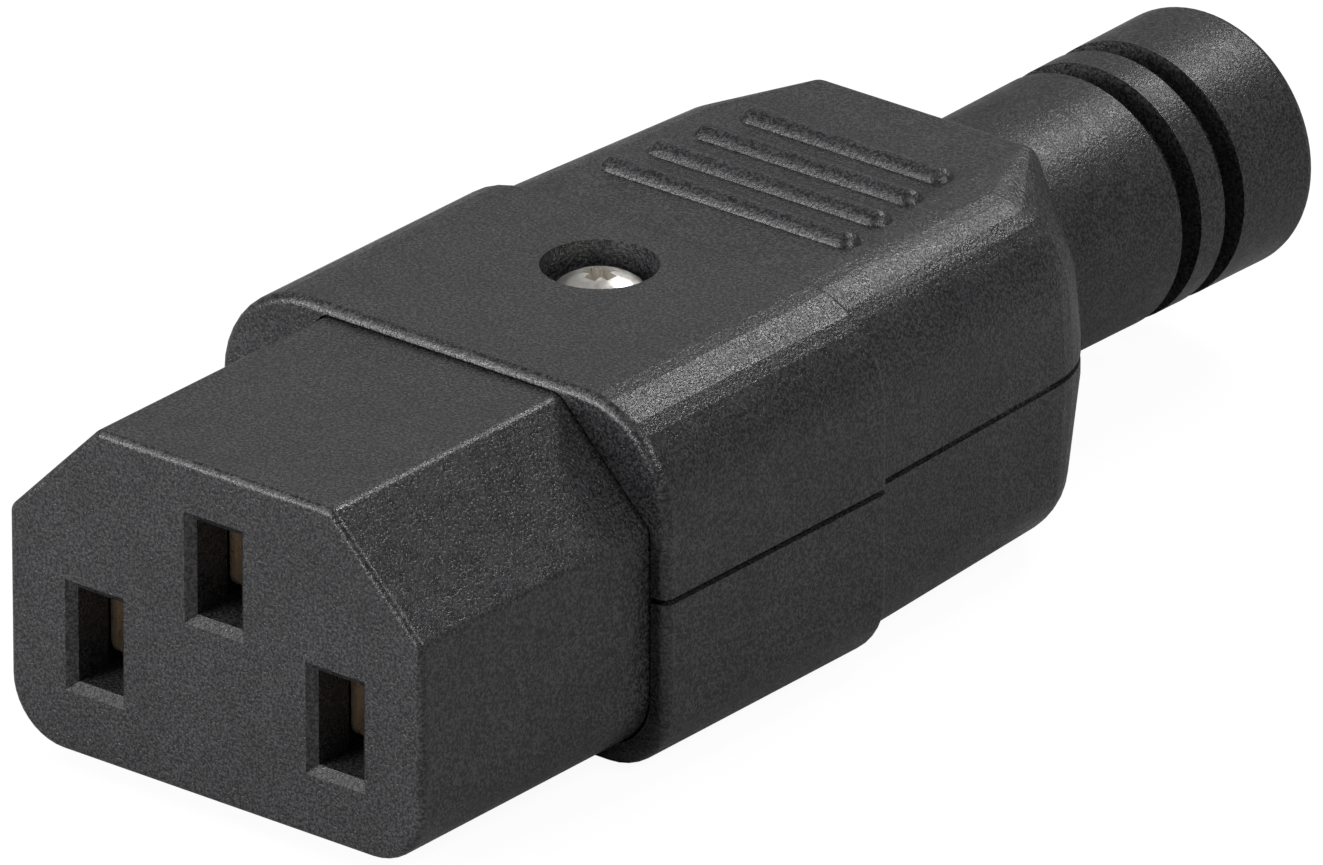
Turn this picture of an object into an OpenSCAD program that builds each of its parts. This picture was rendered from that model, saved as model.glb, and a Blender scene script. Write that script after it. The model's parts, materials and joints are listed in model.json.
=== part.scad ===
// Rewireable C13 appliance connector: a contact carrier with a chamfered nose, held between two
// half shells that are drawn together by one screw, with a rubber cord guard at the rear.
// X runs across the nose, +Y from the mating face to the cord, +Z up towards the earth contact.
// The origin is the middle of the mating face.

/* [Nose] */
// Width of the nose
nose_w = 24; // [23:0.1:26]
// Height of the nose
nose_h = 16.4; // [16:0.1:18]
// Length of the nose in front of the collar
nose_len = 16; // [14:0.5:20]
// Leg of the chamfer on each top corner
nose_chamfer = 5.2; // [4:0.1:5.6]
// Radius of the bottom corners
nose_corner_r = 3; // [2:0.1:4]
// Rounding where the chamfers meet the top and the sides
nose_ridge_r = 0.6; // [0.4:0.1:1]
// Rounding of the front edges
nose_edge_r = 0.35; // [0.2:0.05:0.4]

/* [Contacts] */
// Distance from each side of the nose to the middle of the lower slot
slot_side = 5; // [4.8:0.1:5.4]
// Distance from the nose's top to the middle of the earth slot
earth_down = 5.25; // [5:0.05:5.5]
// Distance from the nose's underside to the middle of the lower slots
lower_up = 5.8; // [5.4:0.05:6.2]
// Width of the slots
slot_w = 2.6; // [2.4:0.05:3]
// Height of the slots
slot_h = 4.65; // [4.4:0.05:5]
// Leg of the lead-in bevel round the slots
slot_bevel = 0.42; // [0.2:0.02:0.6]
// Thickness of the wall in front of the contacts
face_wall = 2.5; // [1.5:0.1:3.5]
// Sheet thickness of the contacts
contact_t = 0.35; // [0.25:0.05:0.45]
// Height of the contact leaves
leaf_h = 4; // [3.6:0.1:4.2]
// Gap between the leaves where they grip the pin
leaf_gap = 1.85; // [1.6:0.05:2]
// Distance from the lip to the ends of the terminal blocks
terminal_back = 3.3; // [3:0.1:3.6]
// Length of the terminal blocks
terminal_l = 5.2; // [4.8:0.1:5.4]
// Width of the terminal blocks
terminal_w = 4.4; // [4.2:0.1:4.6]
// Height of the terminal blocks
terminal_h = 4.4; // [4.2:0.1:4.6]
// Radius of the wire holes in the terminal blocks
wire_r = 1.2; // [1:0.05:1.3]
// Radius of the terminal screws
terminal_screw_r = 1.25; // [1:0.05:1.3]
// Radius of the terminal screws' heads
terminal_head_r = 1.9; // [1.7:0.05:2]
// Height of the terminal screws' heads
terminal_head_h = 0.9; // [0.7:0.05:1]

/* [Collar] */
// Length of the collar
collar_len = 16.1; // [15:0.1:20]
// How far the collar stands out from the nose at each side
collar_side_step = 1; // [0.8:0.05:1.6]
// How far the collar stands above the nose
collar_top_step = 0.55; // [0.5:0.05:1]
// How far the collar stands below the nose
collar_bottom_step = 1.05; // [0.9:0.05:1.4]
// Radius of the collar's top corners
collar_top_r = 5; // [4:0.1:6]
// Radius of the collar's bottom corners
collar_bottom_r = 3.5; // [3:0.1:5]
// Rounding of the collar's front and rear edges
collar_edge_r = 0.5; // [0.3:0.05:0.7]

/* [Rear body] */
// Length of the body behind the collar
rear_len = 19.4; // [19:0.1:24]
// Step from the collar down to the rear body at each side
rear_side_step = 0.55; // [0.3:0.05:0.8]
// Step from the collar down to the rear body on the top and the underside
rear_top_step = 0.15; // [0.05:0.05:0.4]
// How far each side closes in towards the cord
rear_side_taper = 0.6; // [0.2:0.05:1.5]
// How far the top and the underside close in towards the cord
rear_top_taper = 0.35; // [0.1:0.05:0.6]
// Radius of the upright rear corners
rear_corner_r = 6; // [5:0.1:6.4]
// Rounding of the rear top and bottom edges
rear_edge_r = 1; // [0.6:0.1:1.6]

/* [Shells] */
// Wall thickness of the shells
wall = 1.9; // [1.6:0.1:2]
// Width of the gap on the outside where the shells meet
seam_w = 0.3; // [0.2:0.05:0.4]
// Depth of that gap
seam_d = 0.35; // [0.2:0.05:0.6]
// Thickness of the lip that holds the carrier
lip_t = 2; // [1.5:0.1:2.2]
// How far the nose reaches into the collar before the lip
lip_inset = 1.2; // [0.8:0.1:1.5]
// Clearance between pieces that fit into each other
fit = 0.1; // [0.05:0.01:0.15]

/* [Grip ribs] */
// Number of ribs across the top
rib_count = 4; // [2:1:5]
// Distance from one rib to the next
rib_pitch = 2.85; // [2:0.05:2.9]
// Radius of the ribs
rib_r = 0.85; // [0.6:0.05:0.95]
// Height of the ribs above the top
rib_h = 0.5; // [0.3:0.05:0.6]
// Distance from the collar to the middle of the first rib
rib_start = 4.6; // [3:0.1:5]
// Length of the first rib
rib_len = 15; // [12:0.1:15.4]
// How much shorter each rib is than the one before
rib_shrink = 0.9; // [0:0.05:1.2]

/* [Cover screw] */
// Distance from the collar's front to the screw
screw_back = 11.3; // [11:0.1:12]
// Radius of the recess for the head
recess_r = 2.75; // [2.6:0.05:3.2]
// Depth of the recess
recess_d = 1.8; // [1.6:0.1:2.2]
// Radius of the screw
screw_r = 1.25; // [1:0.05:1.3]
// Radius of the head
head_r = 2.05; // [1.9:0.05:2.4]
// Height of the head's rim
head_rim = 0.7; // [0.5:0.05:0.9]
// Height of the dome above the rim
head_dome = 0.7; // [0.4:0.05:0.8]
// Width of the nut across its flats
nut_w = 5; // [4.8:0.1:5.2]
// Thickness of the nut
nut_t = 2; // [1.8:0.1:2.2]
// How far the nut lies inside the underside
nut_depth = 0.5; // [0.3:0.1:1]

/* [Cord clamp] */
// Distance from the collar's rear to the middle of the clamp
clamp_back = 5.4; // [5:0.1:6]
// Width of the clamp along the cord
clamp_w = 5; // [4:0.1:5.4]
// Thickness of the clamp's strap and feet
clamp_t = 1.2; // [1:0.1:1.4]
// Radius of the clamp screws
clamp_screw_r = 1; // [0.8:0.05:1.1]
// Radius of the clamp screws' heads
clamp_head_r = 1.7; // [1.5:0.05:1.8]
// Height of the clamp screws' heads
clamp_head_h = 1.1; // [0.9:0.05:1.3]
// Thickness of the pillars under the clamp round its screws
pillar_t = 0.75; // [0.6:0.05:0.9]

/* [Cord guard] */
// Radius of the bore for the cord
cord_r = 3.8; // [3:0.05:4]
// Radius of the guard at the housing
guard_r = 6.2; // [5.6:0.05:6.4]
// Radius of the guard at its end
guard_end_r = 6.4; // [5.8:0.05:6.8]
// Length of the guard outside the housing
guard_len = 20.8; // [18:0.1:26]
// Length of the ring at the end
guard_ring_l = 5.4; // [4:0.1:7]
// Width of the two grooves
groove_w = 1.45; // [1:0.05:2]
// Depth of the two grooves
groove_d = 1.3; // [0.8:0.05:1.6]
// Width of the ring between the grooves
groove_gap = 1.75; // [1.2:0.05:2.5]
// Radius of the flange inside the housing
flange_r = 7.4; // [7:0.05:7.5]
// Thickness of that flange
flange_t = 2.6; // [2:0.1:2.8]

/* [Hidden] */
$fn = 64;
hull_fn = 40;
black = [0.06, 0.06, 0.065];
bronze = [0.55, 0.38, 0.2];
brass = [0.78, 0.62, 0.3];
nickel = [0.75, 0.73, 0.7];
far = 60;

// Stations along the connector
collar_y0 = nose_len;
collar_y1 = collar_y0 + collar_len;
body_y1 = collar_y1 + rear_len;
lip_y0 = collar_y0 + lip_inset;
lip_y1 = lip_y0 + lip_t;
terminal_y1 = lip_y1 + terminal_back;
terminal_y0 = terminal_y1 - terminal_l;
carrier_y1 = terminal_y1 + fit;
retainer_t = 0.9;
retainer_y0 = carrier_y1 + fit / 2;
retainer_y1 = retainer_y0 + retainer_t;
screw_y = collar_y0 + screw_back;
clamp_y = collar_y1 + clamp_back;
guard_y1 = body_y1 + guard_len;
flange_y1 = body_y1 - wall - fit;
flange_y0 = flange_y1 - flange_t;
web_t = 1.4;
web_y1 = flange_y0 - fit;
web_y0 = web_y1 - web_t;

// Heights and half widths
collar_top = nose_h / 2 + collar_top_step;
collar_bottom = -nose_h / 2 - collar_bottom_step;
axis_z = (collar_top + collar_bottom) / 2;
collar_x = nose_w / 2 + collar_side_step;
rear_x0 = collar_x - rear_side_step;
rear_x1 = rear_x0 - rear_side_taper;
rear_half0 = collar_top - axis_z - rear_top_step;
rear_half1 = rear_half0 - rear_top_taper;

// Carrier: how far its neck and its body lie inside the nose's outline
body_in = wall + fit - collar_top_step;
neck_in = body_in + 0.5;

// Insides of the shells
recess_z = collar_top - recess_d;
boss_r = 2.5;
nut_z0 = collar_bottom + nut_depth;
nut_z1 = nut_z0 + nut_t + fit;
nut_corner_r = (nut_w / 2 + fit) / cos(30);
dome_r = (head_r * head_r + head_dome * head_dome) / (2 * head_dome);
web_hole_r = cord_r + 1.2;
floor_z = axis_z - rear_half1 + wall;
room_top = collar_top - wall;
room_bottom = collar_bottom + wall;
stop_w = 1.8;
stop_l = 1.4;
clamp_z = axis_z + 0.6;
clamp_screw_x = cord_r + clamp_t + clamp_head_r + fit;
pillar_r = clamp_screw_r + pillar_t + fit / 2;
pilot_depth = 5;
cradle_w = 2.4;

// Contacts
lower_x = nose_w / 2 - slot_side;
lower_z = lower_up - nose_h / 2;
earth_z = nose_h / 2 - earth_down;
contact_x = [-lower_x, lower_x, 0];
contact_z = [lower_z, lower_z, earth_z];
cavity_w = slot_w + 1;
leaf_y0 = face_wall + 0.4;
leaf_flare = 0.22;
leaf_flare_l = 2.5;
leaf_spread = 0.12;
tip_r = 0.8;
contact_y1 = terminal_y0 - 0.8;
terminal_screw_y = (terminal_y0 + terminal_y1) / 2;
tongue_w = 3;
tongue_z = -terminal_h / 2 + 0.4;
tongue_l = terminal_l - 0.4 + contact_t;
wire_z = 0.25;

// Outline corners as [x, z, radius], anticlockwise seen from the front
nose = [[-nose_w / 2, -nose_h / 2, nose_corner_r],
        [nose_w / 2, -nose_h / 2, nose_corner_r],
        [nose_w / 2, nose_h / 2 - nose_chamfer, nose_ridge_r],
        [nose_w / 2 - nose_chamfer, nose_h / 2, nose_ridge_r],
        [nose_chamfer - nose_w / 2, nose_h / 2, nose_ridge_r],
        [-nose_w / 2, nose_h / 2 - nose_chamfer, nose_ridge_r]];

function box_corners(half_w, z0, z1, low_r, high_r) =
    [[-half_w, z0, low_r], [half_w, z0, low_r], [half_w, z1, high_r], [-half_w, z1, high_r]];

collar = box_corners(collar_x, collar_bottom, collar_top, collar_bottom_r, collar_top_r);

// Outward normal of the edge that starts at corner i
function xz(corner) = [corner[0], corner[1]];
function wrap(c, i) = c[(i + len(c)) % len(c)];
function normal(c, i) =
    let (d = xz(wrap(c, i + 1)) - xz(wrap(c, i))) [d[1], -d[0]] / norm(d);
// Where the two edges at corner i meet once both have moved in by the distance d
function moved_in(c, i, d) =
    let (a = normal(c, i - 1), b = normal(c, i)) xz(wrap(c, i)) - d * (a + b) / (1 + a * b);
function shrunk(c, d) =
    [for (i = [0:len(c) - 1]) let (p = moved_in(c, i, d)) [p[0], p[1], max(c[i][2] - d, 0.3)]];

// Flat outline with round corners
module outline(c) {
    polygon([for (i = [0:len(c) - 1]) for (j = [i, i + 1])
        moved_in(c, j, wrap(c, j)[2]) + wrap(c, j)[2] * normal(c, i)]);
    for (i = [0:len(c) - 1])
        translate(moved_in(c, i, c[i][2])) circle(c[i][2]);
}

// Children drawn in X and Z, carried from y0 to y1
module along_y(y0, y1) {
    translate([0, y1, 0]) rotate([90, 0, 0]) linear_extrude(y1 - y0) children();
}

// Children drawn as [radius, distance along Y], turned about the cord's axis
module about_cord() {
    translate([0, 0, axis_z]) rotate([-90, 0, 0]) rotate_extrude() children();
}

// Rings at the corners of an outline at the station y, whose hull has edges rounded by r
module corner_rings(c, y, r) {
    for (i = [0:len(c) - 1]) {
        centre = moved_in(c, i, c[i][2]);
        translate([centre[0], y, centre[1]]) rotate([90, 0, 0])
            rotate_extrude($fn = hull_fn) intersection() {
                translate([c[i][2] - r, 0]) circle(r, $fn = hull_fn);
                translate([0, -r]) square([c[i][2], 2 * r]);
            }
    }
}

// Solid from y0 to y1 with rounded front edges, and rounded rear edges where rear_r is given
module rounded_block(c, y0, y1, front_r, rear_r = 0) {
    hull() {
        corner_rings(c, y0 + front_r, front_r);
        if (rear_r > 0) corner_rings(c, y1 - rear_r, rear_r);
        else along_y(y1 - 0.01, y1) outline(c, $fn = hull_fn);
    }
}

// Everything above (side = 1) or below (side = -1) the plane where the shells meet
module half_space(side) {
    translate([-far, -far, axis_z + (side > 0 ? 0 : -2 * far)]) cube([2 * far, 3 * far, 2 * far]);
}

// Rear body: one half, closed in towards the cord, with round rear corners
module rear_form(side) {
    corner_r = side > 0 ? collar_top_r : collar_bottom_r;
    ball_x = rear_x1 - corner_r;
    ball_z = rear_half1 - corner_r;
    hull() {
        along_y(collar_y1 - 2, collar_y1 - 1.5)
            outline(box_corners(rear_x0, axis_z - rear_half0, axis_z + rear_half0,
                                corner_r, corner_r), $fn = hull_fn);
        for (x = [-1, 1]) {
            translate([x * ball_x, body_y1 - rear_corner_r, axis_z + side * ball_z])
                sphere(corner_r, $fn = hull_fn);
            translate([x * (rear_x1 - rear_corner_r), body_y1 - rear_corner_r, axis_z - 1])
                cylinder(h = 2, r = rear_corner_r, $fn = hull_fn);
            translate([x * (rear_x1 - rear_corner_r), body_y1 - rear_edge_r,
                       axis_z + side * (rear_half1 - rear_edge_r)])
                sphere(rear_edge_r, $fn = hull_fn);
        }
    }
}

// Outside of one shell, both sections together
module shell_form(side) {
    intersection() {
        union() {
            rounded_block(collar, collar_y0, collar_y1, collar_edge_r, collar_edge_r);
            rear_form(side);
        }
        half_space(side);
    }
}

// Half width of the rear body at the station y
function rear_x(y) = rear_x0 - rear_side_taper * (y - collar_y1) / rear_len;

// Plan of both shells at the seam, moved in by the seam's depth
module seam_plan() {
    corner_y = body_y1 - rear_corner_r;
    inner_r = rear_corner_r - seam_d;
    translate([seam_d - collar_x, collar_y0 + seam_d])
        square([2 * (collar_x - seam_d), collar_len - 2 * seam_d]);
    polygon([[seam_d - rear_x(collar_y1), collar_y1 - 2], [rear_x(collar_y1) - seam_d, collar_y1 - 2],
             [rear_x(corner_y) - seam_d, corner_y], [rear_x1 - rear_corner_r, body_y1 - seam_d],
             [rear_corner_r - rear_x1, body_y1 - seam_d], [seam_d - rear_x(corner_y), corner_y]]);
    for (x = [-1, 1]) translate([x * (rear_x1 - rear_corner_r), corner_y]) circle(inner_r);
}

// Shadow gap round the outside, under the plane where the shells meet
module seam_gap() {
    difference() {
        translate([-far, 0, axis_z - seam_w]) cube([2 * far, 2 * far, seam_w]);
        translate([0, 0, axis_z - seam_w - 1]) linear_extrude(seam_w + 2) seam_plan();
    }
}

// Room inside both shells, with the seats for the carrier and the cord guard
module shell_room() {
    back_half = rear_half1 - wall;
    back_x = rear_x1 - wall;
    back_r = 2;
    // Seat of the nose, and the opening inside the lip
    along_y(collar_y0 - 1, lip_y0 + fit) outline(shrunk(nose, -fit));
    along_y(lip_y0, lip_y1 + 0.1) outline(shrunk(nose, neck_in - fit));
    // Room in the collar, then in the rear body as far as the web
    along_y(lip_y1, collar_y1 - wall)
        outline(box_corners(collar_x - wall, room_bottom, room_top, collar_bottom_r - wall / 2,
                            collar_top_r - wall));
    along_y(collar_y1 - wall - 1, web_y0)
        outline(box_corners(back_x, axis_z - back_half, axis_z + back_half, back_r, back_r));
    // The guard's flange, its neck and the cord's way through the web
    about_cord() {
        translate([0, web_y0 - 1]) square([web_hole_r, web_t + 2]);
        translate([0, web_y1]) square([flange_r + fit, flange_y1 - web_y1 + fit]);
        translate([0, web_y1]) square([guard_r + fit / 2, far]);
    }
}

module upper_shell() color(black) {
    difference() {
        union() {
            difference() {
                shell_form(1);
                shell_room();
            }
            cover_boss(axis_z, room_top + 0.5);
            stops(axis_z, room_top - collar_top_r + wall);
            ribs();
        }
        translate([0, screw_y, recess_z]) cylinder(h = far, r = recess_r);
        translate([0, screw_y, axis_z - 1]) cylinder(h = far, r = screw_r + fit);
    }
}

module lower_shell() color(black) {
    difference() {
        union() {
            difference() {
                shell_form(-1);
                shell_room();
                seam_gap();
            }
            cover_boss(nut_z1, axis_z);
            stops(room_bottom + collar_bottom_r - wall, axis_z);
            translate([0, screw_y, room_bottom - 0.5])
                cylinder(h = nut_z1 + 1.5 - room_bottom, r = nut_corner_r + 0.6);
            for (x = [-1, 1]) translate([x * clamp_screw_x, clamp_y, floor_z - 0.5])
                cylinder(h = clamp_z - floor_z + 0.5, r = pillar_r);
            cradle();
        }
        translate([0, screw_y, collar_bottom - 1]) cylinder(h = far, r = screw_r + fit);
        translate([0, screw_y, collar_bottom - 1])
            cylinder(h = nut_z1 - collar_bottom + 1, r = nut_corner_r, $fn = 6);
        for (x = [-1, 1]) translate([x * clamp_screw_x, clamp_y, clamp_z - pilot_depth])
            cylinder(h = far, r = clamp_screw_r + fit / 2);
    }
}

// Post round the cover screw
module cover_boss(z0, z1) {
    translate([0, screw_y, z0]) cylinder(h = z1 - z0, r = boss_r);
}

// Ledges on the side walls that keep the retainer against the carrier
module stops(z0, z1) {
    for (x = [stop_w / 2 - collar_x + wall, collar_x - wall - stop_w / 2])
        translate([x - stop_w / 2 - 0.2, retainer_y1 + fit, z0]) cube([stop_w + 0.4, stop_l, z1 - z0]);
}

// Trough between the pillars that carries the cord
module cradle() {
    difference() {
        translate([-clamp_screw_x, clamp_y - cradle_w / 2, floor_z - 0.5])
            cube([2 * clamp_screw_x, cradle_w, clamp_z - floor_z - 0.5]);
        about_cord() translate([0, clamp_y - clamp_w]) square([cord_r, 2 * clamp_w]);
    }
}

// Raised grips with round ends, half sunk into the sloping top
module ribs() {
    slope = atan(rear_top_taper / rear_len);
    for (i = [0:rib_count - 1]) {
        y = rib_start + i * rib_pitch;
        half = (rib_len - i * rib_shrink) / 2 - rib_r;
        translate([0, collar_y1, axis_z + rear_half0]) rotate([-slope, 0, 0])
            translate([0, y, rib_h - rib_r]) {
                translate([-half, 0, 0]) rotate([0, 90, 0]) cylinder(h = 2 * half, r = rib_r);
                for (x = [-half, half]) translate([x, 0, 0]) sphere(rib_r);
            }
    }
}

// Lead-in round a slot: wide at the mating face, down to the slot
module slot_lead_in() {
    w = slot_w / 2;
    h = slot_h / 2;
    b = slot_bevel;
    intersection() {
        translate([0, 0, -h - b]) linear_extrude(2 * (h + b))
            polygon([[-w - 2 * b, -b], [w + 2 * b, -b], [w, b], [-w, b]]);
        translate([-w - b, 0, 0]) rotate([90, 0, 90]) linear_extrude(2 * (w + b))
            polygon([[-b, -h - 2 * b], [-b, h + 2 * b], [b, h], [b, -h]]);
    }
}

module contact_carrier() color(black) {
    difference() {
        union() {
            rounded_block(nose, 0, lip_y0, nose_edge_r);
            along_y(lip_y0 - 0.5, lip_y1 + 1) outline(shrunk(nose, neck_in));
            along_y(lip_y1 + fit, carrier_y1) outline(shrunk(nose, body_in));
        }
        for (i = [0:2]) translate([contact_x[i], 0, contact_z[i]]) {
            slot_lead_in();
            translate([-slot_w / 2, -1, -slot_h / 2]) cube([slot_w, terminal_y0, slot_h]);
            translate([-cavity_w / 2, face_wall, -slot_h / 2])
                cube([cavity_w, terminal_y0 - face_wall, slot_h]);
            translate([-terminal_w / 2 - fit, terminal_y0 - fit, -terminal_h / 2 - fit])
                cube([terminal_w + 2 * fit, terminal_l + 2, terminal_h + 2 * fit]);
            translate([0, terminal_screw_y, 0]) cylinder(h = far, r = terminal_head_r + 2 * fit);
        }
    }
}

// Plate that keeps the terminal blocks in the carrier, with a hole for each wire
module contact_retainer() color(black) {
    difference() {
        along_y(retainer_y0, retainer_y1) outline(shrunk(nose, body_in));
        for (i = [0:2]) translate([contact_x[i], retainer_y0 - 1, contact_z[i] + wire_z])
            rotate([-90, 0, 0]) cylinder(h = retainer_t + 2, r = wire_r + 0.3);
    }
}

// One leaf of a contact: it narrows to the grip and opens again at the front
module leaf_plan() {
    grip = leaf_gap / 2;
    mouth = grip + leaf_flare;
    root = grip + leaf_spread;
    grip_y = leaf_y0 + leaf_flare_l;
    polygon([[mouth, leaf_y0], [grip, grip_y], [root, contact_y1], [root + contact_t, contact_y1],
             [grip + contact_t, grip_y], [mouth + contact_t, leaf_y0]]);
}

// Two leaves joined by a web, with a tongue into the terminal block
module contact(i) color(bronze) translate([contact_x[i], 0, contact_z[i]]) {
    web_x = leaf_gap / 2 + leaf_spread + contact_t;
    intersection() {
        translate([0, 0, -leaf_h / 2]) linear_extrude(leaf_h) {
            leaf_plan();
            mirror([1, 0]) leaf_plan();
            translate([-web_x, contact_y1 - contact_t]) square([2 * web_x, contact_t]);
        }
        translate([-web_x - 1, 0, 0]) rotate([90, 0, 90]) linear_extrude(2 * web_x + 2) {
            translate([leaf_y0 + tip_r, -leaf_h / 2]) square([contact_y1 - leaf_y0 - tip_r, leaf_h]);
            translate([leaf_y0, tip_r - leaf_h / 2]) square([2 * tip_r, leaf_h - 2 * tip_r]);
            for (z = [-1, 1]) translate([leaf_y0 + tip_r, z * (leaf_h / 2 - tip_r)]) circle(tip_r);
        }
    }
    translate([-tongue_w / 2, contact_y1 - contact_t, tongue_z])
        cube([tongue_w, tongue_l, contact_t]);
}

// Block with a hole for the wire, a slot for the contact's tongue and a tapped hole on top
module terminal(i) color(brass) translate([contact_x[i], terminal_y0, contact_z[i]]) {
    difference() {
        translate([-terminal_w / 2, 0, -terminal_h / 2]) cube([terminal_w, terminal_l, terminal_h]);
        translate([0, -1, wire_z]) rotate([-90, 0, 0]) cylinder(h = terminal_l + 2, r = wire_r);
        translate([-tongue_w / 2 - fit / 2, -1, tongue_z - fit / 2])
            cube([tongue_w + fit, terminal_l, contact_t + fit]);
        translate([0, terminal_l / 2, wire_z]) cylinder(h = far, r = terminal_screw_r + fit / 2);
    }
}

module terminal_screw(i) color(nickel) translate([contact_x[i], terminal_screw_y, contact_z[i]]) {
    difference() {
        union() {
            translate([0, 0, wire_z + 0.3]) cylinder(h = terminal_h / 2 - wire_z, r = terminal_screw_r);
            translate([0, 0, terminal_h / 2 + 0.05]) cylinder(h = terminal_head_h, r = terminal_head_r);
        }
        translate([-0.3, -far, terminal_h / 2 + 0.05 + terminal_head_h / 2]) cube([0.6, 2 * far, far]);
    }
}

// Strap over the cord, with a foot on each pillar
module cord_clamp() color(black) {
    foot_x = clamp_screw_x + pillar_r;
    difference() {
        along_y(clamp_y - clamp_w / 2, clamp_y + clamp_w / 2) difference() {
            union() {
                translate([-foot_x, clamp_z]) square([2 * foot_x, clamp_t]);
                translate([0, axis_z]) circle(cord_r + clamp_t);
            }
            translate([0, axis_z]) circle(cord_r);
            translate([-far, clamp_z - far]) square([2 * far, far]);
        }
        for (x = [-1, 1]) translate([x * clamp_screw_x, clamp_y, clamp_z - 1])
            cylinder(h = far, r = clamp_screw_r + fit);
    }
}

// Pan head screw for the clamp; side is -1 on the left and 1 on the right
module clamp_screw(side) color(nickel)
    translate([side * clamp_screw_x, clamp_y, clamp_z + clamp_t]) difference() {
        union() {
            translate([0, 0, 0.1 - pilot_depth - clamp_t])
                cylinder(h = pilot_depth + clamp_t, r = clamp_screw_r);
            cylinder(h = clamp_head_h, r = clamp_head_r);
        }
        translate([0, 0, clamp_head_h]) cross_recess(clamp_head_r);
    }

// Cross recess for a head of radius r, cut down from z = 0
module cross_recess(r) {
    depth = 0.6 * r;
    for (turn = [0, 90]) rotate([0, 0, turn]) intersection() {
        translate([-far, -0.16 * r, -depth]) cube([2 * far, 0.32 * r, far]);
        rotate([90, 0, 0]) translate([0, 0, -r]) linear_extrude(2 * r)
            polygon([[-0.36 * r, -depth], [0.36 * r, -depth], [0.66 * r, far], [-0.66 * r, far]]);
    }
}

module cover_screw() color(nickel) translate([0, screw_y, recess_z]) difference() {
    union() {
        rotate_extrude() {
            square([head_r, head_rim]);
            intersection() {
                translate([0, head_rim + head_dome - dome_r]) circle(dome_r);
                translate([0, head_rim]) square([head_r, head_dome]);
            }
        }
        translate([0, 0, nut_z0 - recess_z]) cylinder(h = recess_z - nut_z0 + 0.2, r = screw_r);
    }
    translate([0, 0, head_rim + head_dome]) cross_recess(head_r);
}

module cover_nut() color(nickel) translate([0, screw_y, nut_z0]) difference() {
    cylinder(h = nut_t, r = nut_w / 2 / cos(30), $fn = 6);
    translate([0, 0, -1]) cylinder(h = nut_t + 2, r = screw_r + fit / 2);
}

// Rubber guard: a flange inside the housing, then a sleeve with two grooves and an end ring
module cord_guard() color(black) {
    ring_y = guard_y1 - guard_ring_l;
    groove_y = [ring_y - groove_w, ring_y - 2 * groove_w - groove_gap];
    lip = 0.6;
    about_cord() difference() {
        union() {
            translate([cord_r, flange_y0]) square([flange_r - cord_r, flange_t]);
            translate([cord_r, flange_y1 - 0.5]) square([guard_r - cord_r, wall + 1]);
            polygon([[cord_r, body_y1], [guard_r, body_y1], [guard_end_r, guard_y1 - lip],
                     [guard_end_r - lip, guard_y1], [cord_r, guard_y1]]);
            translate([guard_end_r - lip, guard_y1 - lip]) circle(lip);
        }
        for (y = groove_y) translate([guard_end_r - groove_d, y]) square([groove_d + 1, groove_w]);
    }
}

upper_shell();
lower_shell();
contact_carrier();
contact_retainer();
contact(0);  // left_contact
contact(1);  // right_contact
contact(2);  // earth_contact
terminal(0);  // left_terminal
terminal(1);  // right_terminal
terminal(2);  // earth_terminal
terminal_screw(0);  // left_terminal_screw
terminal_screw(1);  // right_terminal_screw
terminal_screw(2);  // earth_terminal_screw
cord_clamp();
clamp_screw(-1);  // clamp_screw_left
clamp_screw(1);  // clamp_screw_right
cover_screw();
cover_nut();
cord_guard();
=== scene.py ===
"""Looks of the C13 connector in a white studio.

The housing is grained black plastic, the guard rubber, the contacts bronze, the terminals brass and
the screws nickel plated. Every material is procedural, with its sizes in millimetres.
"""

import json
import math
from typing import NamedTuple

import bpy
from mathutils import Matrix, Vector


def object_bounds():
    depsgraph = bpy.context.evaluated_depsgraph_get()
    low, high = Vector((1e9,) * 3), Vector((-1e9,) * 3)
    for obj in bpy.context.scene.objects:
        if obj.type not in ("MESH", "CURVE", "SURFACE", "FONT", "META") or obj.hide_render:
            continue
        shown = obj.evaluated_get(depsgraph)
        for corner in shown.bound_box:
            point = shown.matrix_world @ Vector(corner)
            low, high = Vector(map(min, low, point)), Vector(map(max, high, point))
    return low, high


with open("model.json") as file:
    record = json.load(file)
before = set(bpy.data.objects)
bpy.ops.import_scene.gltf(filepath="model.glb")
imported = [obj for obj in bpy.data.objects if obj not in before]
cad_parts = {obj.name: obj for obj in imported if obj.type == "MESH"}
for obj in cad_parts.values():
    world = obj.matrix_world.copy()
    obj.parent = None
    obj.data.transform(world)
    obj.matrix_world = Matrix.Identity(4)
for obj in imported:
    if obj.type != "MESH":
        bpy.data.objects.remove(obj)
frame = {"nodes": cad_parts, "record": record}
cad_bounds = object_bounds()

MM = 0.001

# Camera: the view of the photograph, from the front, right and above
AZIMUTH = math.radians(38.95)
ELEVATION = math.radians(24.5)
LENS = 680.0
DISTANCE = 1.115
AIM_RIGHT = 19.96 * MM
AIM_UP = 9.15 * MM



class Softbox(NamedTuple):
    """Rectangular lamp: angles in degrees, lengths in metres."""

    azimuth: float
    elevation: float
    distance: float
    width: float
    height: float
    watts: float
    on_nose: bool = False


SOFTBOXES = {
    "key_behind": Softbox(178, 46, 0.8, 0.24, 0.16, 1.9),
    "back_left": Softbox(216, 32, 0.9, 0.5, 0.3, 0.25),
    "top_left": Softbox(-40, 52, 0.16, 0.09, 0.09, 0.08, on_nose=True),
    "front_left": Softbox(-25, 14, 0.8, 0.5, 0.35, 6.0),
    "side_right": Softbox(95, 42, 0.8, 0.25, 0.25, 2.5),
}
NOSE_MIDDLE = 8 * MM
WORLD_LIGHT = 0.2
WORLD_SEEN = 1.0

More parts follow.
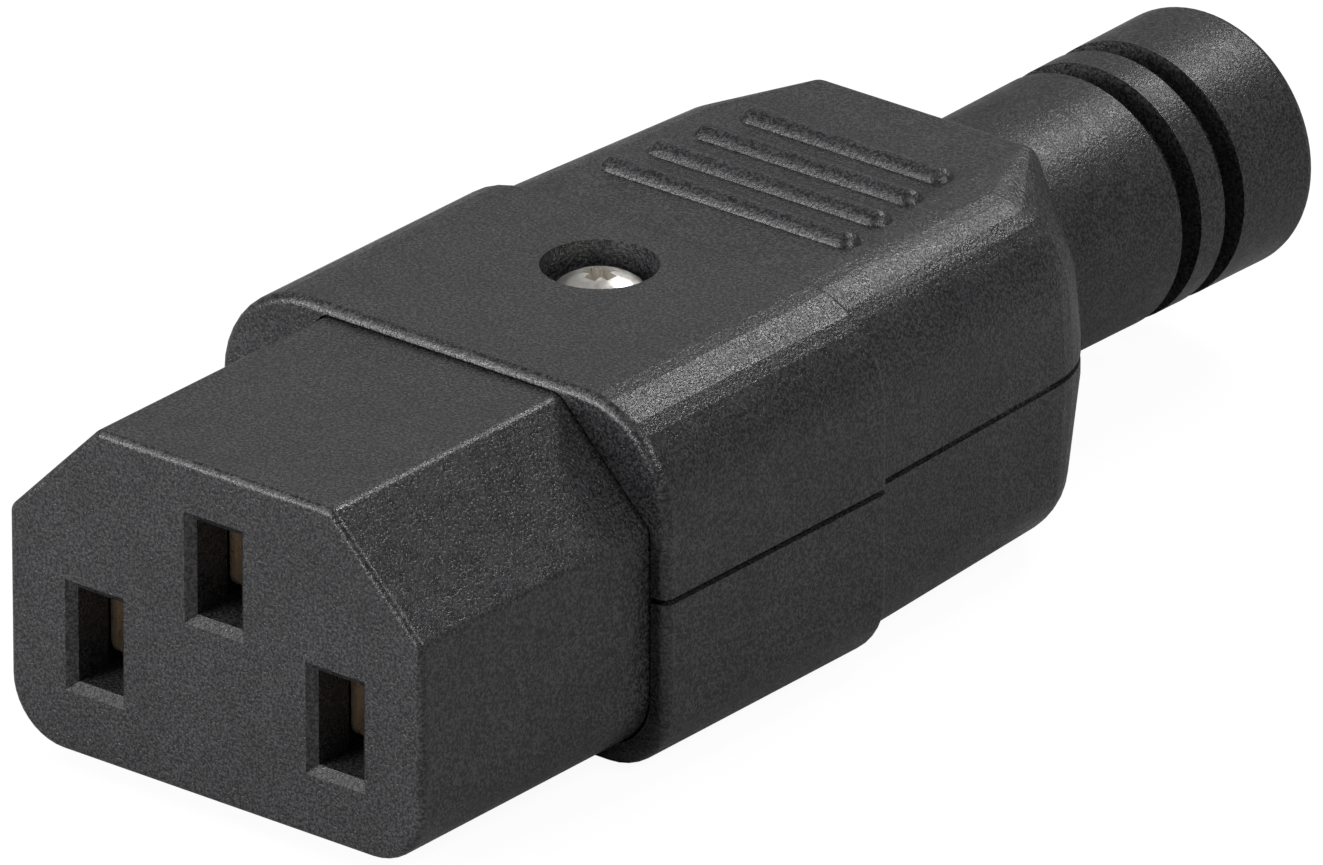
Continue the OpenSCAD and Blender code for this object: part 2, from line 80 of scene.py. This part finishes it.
FLOOR_SIDE = 6.0
FLOOR_GREY = 0.42
FLOOR_WHITE = 1.25
SHADOW_SHARE = 0.25


def direction(azimuth, elevation):
    """Unit vector towards a place at that azimuth (0 is in front, at -Y) and elevation, in radians."""
    flat = math.cos(elevation)
    return Vector((math.sin(azimuth) * flat, -math.cos(azimuth) * flat, math.sin(elevation)))


def add_camera():
    """Long lens aimed beside and above the middle of the mating face."""
    back = direction(AZIMUTH, ELEVATION)
    turn = back.to_track_quat("Z", "Y")
    right = turn @ Vector((1, 0, 0))
    up = turn @ Vector((0, 1, 0))
    data = bpy.data.cameras.new("camera")
    data.lens = LENS
    data.clip_start = 0.05
    camera = bpy.data.objects.new("camera", data)
    camera.rotation_euler = turn.to_euler()
    camera.location = right * AIM_RIGHT + up * AIM_UP + back * DISTANCE
    bpy.context.scene.collection.objects.link(camera)
    bpy.context.scene.camera = camera


# ---------------------------------------------------------------- materials


class Nodes:
    """Short helper for one material's node tree."""

    def __init__(self, name):
        self.material = bpy.data.materials.new(name)
        self.material.use_nodes = True
        self.tree = self.material.node_tree
        self.tree.nodes.clear()
        self.output = self.add("ShaderNodeOutputMaterial")

    def add(self, kind, inputs=None, **settings):
        node = self.tree.nodes.new(kind)
        for key, value in settings.items():
            setattr(node, key, value)
        for key, value in (inputs or {}).items():
            if isinstance(value, bpy.types.NodeSocket):
                self.tree.links.new(value, node.inputs[key])
            else:
                node.inputs[key].default_value = value
        return node

    def in_millimetres(self):
        """Place on the object in millimetres."""
        place = self.add("ShaderNodeTexCoord").outputs["Object"]
        scaled = self.add("ShaderNodeVectorMath", {0: place, "Scale": 1 / MM}, operation="SCALE")
        return scaled.outputs[0]

    def noise(self, vector, scale, detail=2.0, roughness=0.5, distortion=0.0):
        found = self.add(
            "ShaderNodeTexNoise",
            {
                "Vector": vector,
                "Scale": scale,
                "Detail": detail,
                "Roughness": roughness,
                "Distortion": distortion,
            },
        )
        return found.outputs["Fac"]

    def remap(self, value, low, high, to_low, to_high):
        found = self.add(
            "ShaderNodeMapRange",
            {"Value": value, "From Min": low, "From Max": high, "To Min": to_low, "To Max": to_high},
        )
        return found.outputs["Result"]

    def math(self, operation, first, second):
        return self.add("ShaderNodeMath", {0: first, 1: second}, operation=operation).outputs[0]

    def blend(self, factor, first, second):
        """Mix of two colours by factor."""
        node = self.add("ShaderNodeMix", data_type="RGBA")
        for key, value in ((0, factor), (6, first), (7, second)):
            if isinstance(value, bpy.types.NodeSocket):
                self.tree.links.new(value, node.inputs[key])
            else:
                node.inputs[key].default_value = value
        return node.outputs[2]

    def bump(self, height, distance):
        inputs = {"Height": height, "Distance": distance, "Strength": 1.0}
        return self.add("ShaderNodeBump", inputs).outputs["Normal"]

    def surface(self, shader):
        self.tree.links.new(shader, self.output.inputs["Surface"])


def grained(name, dark, light, grain_depth, roughness, grain_scale=7.2, shine=0.45):
    """Moulded plastic or rubber with a fine spark-eroded grain, whose peaks carry a painted glint in a
    lighter colour; sizes are in millimetres.
    """
    n = Nodes(name)
    place = n.in_millimetres()
    worms = n.noise(place, grain_scale, detail=1.2, distortion=0.5)
    grit = n.noise(place, grain_scale * 2.3, detail=1.0)
    height = n.math("ADD", n.math("MULTIPLY", worms, 0.75), n.math("MULTIPLY", grit, 0.25))
    grain = n.remap(height, 0.43, 0.6, 0.0, 1.0)
    cloud = n.remap(n.noise(place, 0.3, detail=4.0, roughness=0.6), 0.35, 0.65, 0.86, 1.1)
    # painted glint: the grain peaks take the lighter colour in place of the sparkle of light on the
    # grain
    glinted_grain_colour = n.blend(grain, dark, light)
    glinted_grain_colour = n.add("ShaderNodeVectorMath", {0: glinted_grain_colour, "Scale": cloud}, operation="SCALE").outputs[0]
    worn = n.remap(n.noise(place, 1.1, detail=4.0), 0.35, 0.65, roughness - 0.05, roughness + 0.06)
    gloss = n.math("SUBTRACT", worn, n.math("MULTIPLY", grain, 0.06))
    shader = n.add(
        "ShaderNodeBsdfPrincipled",
        {
            "Base Color": glinted_grain_colour,
            "Roughness": gloss,
            "Specular IOR Level": shine,
            "Normal": n.bump(height, grain_depth * MM),
        },
    )
    n.surface(shader.outputs[0])
    return n.material


def metal(name, base, tint, roughness, metallic=1.0, scratch=0.004):
    """Bare or plated metal with faint drawing lines and stains."""
    n = Nodes(name)
    place = n.in_millimetres()
    stain = n.remap(n.noise(place, 0.9, detail=4.0, roughness=0.6), 0.35, 0.7, 0, 1)
    fine = n.noise(place, 14.0, detail=3.0)
    rough = n.remap(n.noise(place, 3.0, detail=3.0), 0.3, 0.7, roughness - 0.06, roughness + 0.08)
    shader = n.add(
        "ShaderNodeBsdfPrincipled",
        {
            "Base Color": n.blend(stain, base, tint),
            "Metallic": metallic,
            "Roughness": rough,
            "Normal": n.bump(fine, scratch * MM),
        },
    )
    n.surface(shader.outputs[0])
    return n.material


def make_materials():
    # In the plastic and rubber pairs, the second, lighter colour is a painted glint on the grain
    # peaks.
    plastic = ((0.009, 0.009, 0.0095, 1), (0.052, 0.052, 0.056, 1))
    rubber = ((0.007, 0.007, 0.0075, 1), (0.048, 0.048, 0.05, 1))
    bronze = ((0.66, 0.52, 0.38, 1), (0.5, 0.38, 0.26, 1))
    brass = ((0.72, 0.55, 0.25, 1), (0.60, 0.44, 0.19, 1))
    nickel = ((0.97, 0.95, 0.92, 1), (0.88, 0.84, 0.77, 1))
    return {
        "black_plastic": grained("grained_plastic", *plastic, grain_depth=0.045, roughness=0.3),
        "black_rubber": grained("grained_rubber", *rubber, grain_depth=0.045, roughness=0.36),
        "bronze": metal("spring_bronze", *bronze, roughness=0.3, metallic=0.5),
        "brass": metal("turned_brass", *brass, roughness=0.3),
        "nickel": metal("nickel_plate", *nickel, roughness=0.36),
    }


def dress(materials):
    """Gives each CAD node the material of its slot."""
    for part in frame["record"]["subparts"]:
        node = frame["nodes"][part["node"]]
        node.data.materials.clear()
        node.data.materials.append(materials[part["material_slot"]])


# ---------------------------------------------------------------- studio


def add_floor(height):
    """Pale floor that the camera sees as white, apart from the object's shadow."""
    half = FLOOR_SIDE / 2
    data = bpy.data.meshes.new("floor")
    plan = [(-half, -half), (half, -half), (half, half), (-half, half)]
    corners = [(x, y, height) for x, y in plan]
    data.from_pydata(corners, [], [(0, 1, 2, 3)])
    floor = bpy.data.objects.new("floor", data)
    bpy.context.scene.collection.objects.link(floor)
    n = Nodes("studio_floor")
    seen = n.add("ShaderNodeLightPath").outputs["Is Camera Ray"]
    grey = (FLOOR_GREY, FLOOR_GREY, FLOOR_GREY, 1)
    matt = n.add("ShaderNodeBsdfDiffuse", {"Color": grey}).outputs[0]
    white = n.add("ShaderNodeEmission", {"Color": (1, 1, 1, 1), "Strength": FLOOR_WHITE}).outputs[0]
    lit = n.add("ShaderNodeMixShader", {0: 1 - SHADOW_SHARE, 1: matt, 2: white}).outputs[0]
    n.surface(n.add("ShaderNodeMixShader", {0: seen, 1: matt, 2: lit}).outputs[0])
    data.materials.append(n.material)


def add_world():
    """Soft light from all round, which the camera sees as white."""
    world = bpy.data.worlds.new("studio")
    bpy.context.scene.world = world
    world.use_nodes = True
    tree = world.node_tree
    tree.nodes.clear()
    path = tree.nodes.new("ShaderNodeLightPath")
    level = tree.nodes.new("ShaderNodeMix")
    level.inputs[2].default_value = WORLD_LIGHT
    level.inputs[3].default_value = WORLD_SEEN
    light = tree.nodes.new("ShaderNodeBackground")
    light.inputs["Color"].default_value = (1, 1, 1, 1)
    output = tree.nodes.new("ShaderNodeOutputWorld")
    tree.links.new(path.outputs["Is Camera Ray"], level.inputs[0])
    tree.links.new(level.outputs[0], light.inputs["Strength"])
    tree.links.new(light.outputs[0], output.inputs["Surface"])


def add_softbox(name, box, target):
    """Lamp that stands off from the target and faces it."""
    data = bpy.data.lights.new(name, "AREA")
    data.shape = "RECTANGLE"
    data.size = box.width
    data.size_y = box.height
    data.energy = box.watts
    light = bpy.data.objects.new(name, data)
    back = direction(math.radians(box.azimuth), math.radians(box.elevation))
    light.location = target + back * box.distance
    light.rotation_euler = back.to_track_quat("Z", "Y").to_euler()
    bpy.context.scene.collection.objects.link(light)


def add_studio():
    low, high = cad_bounds
    middle = (Vector(low) + Vector(high)) / 2
    nose = Vector((0, low[1] + NOSE_MIDDLE, 0))
    add_floor(low[2])
    add_world()
    for name, box in SOFTBOXES.items():
        add_softbox(name, box, nose if box.on_nose else middle)


add_camera()
dress(make_materials())
add_studio()

scene = bpy.context.scene
scene.view_settings.view_transform = "Standard"
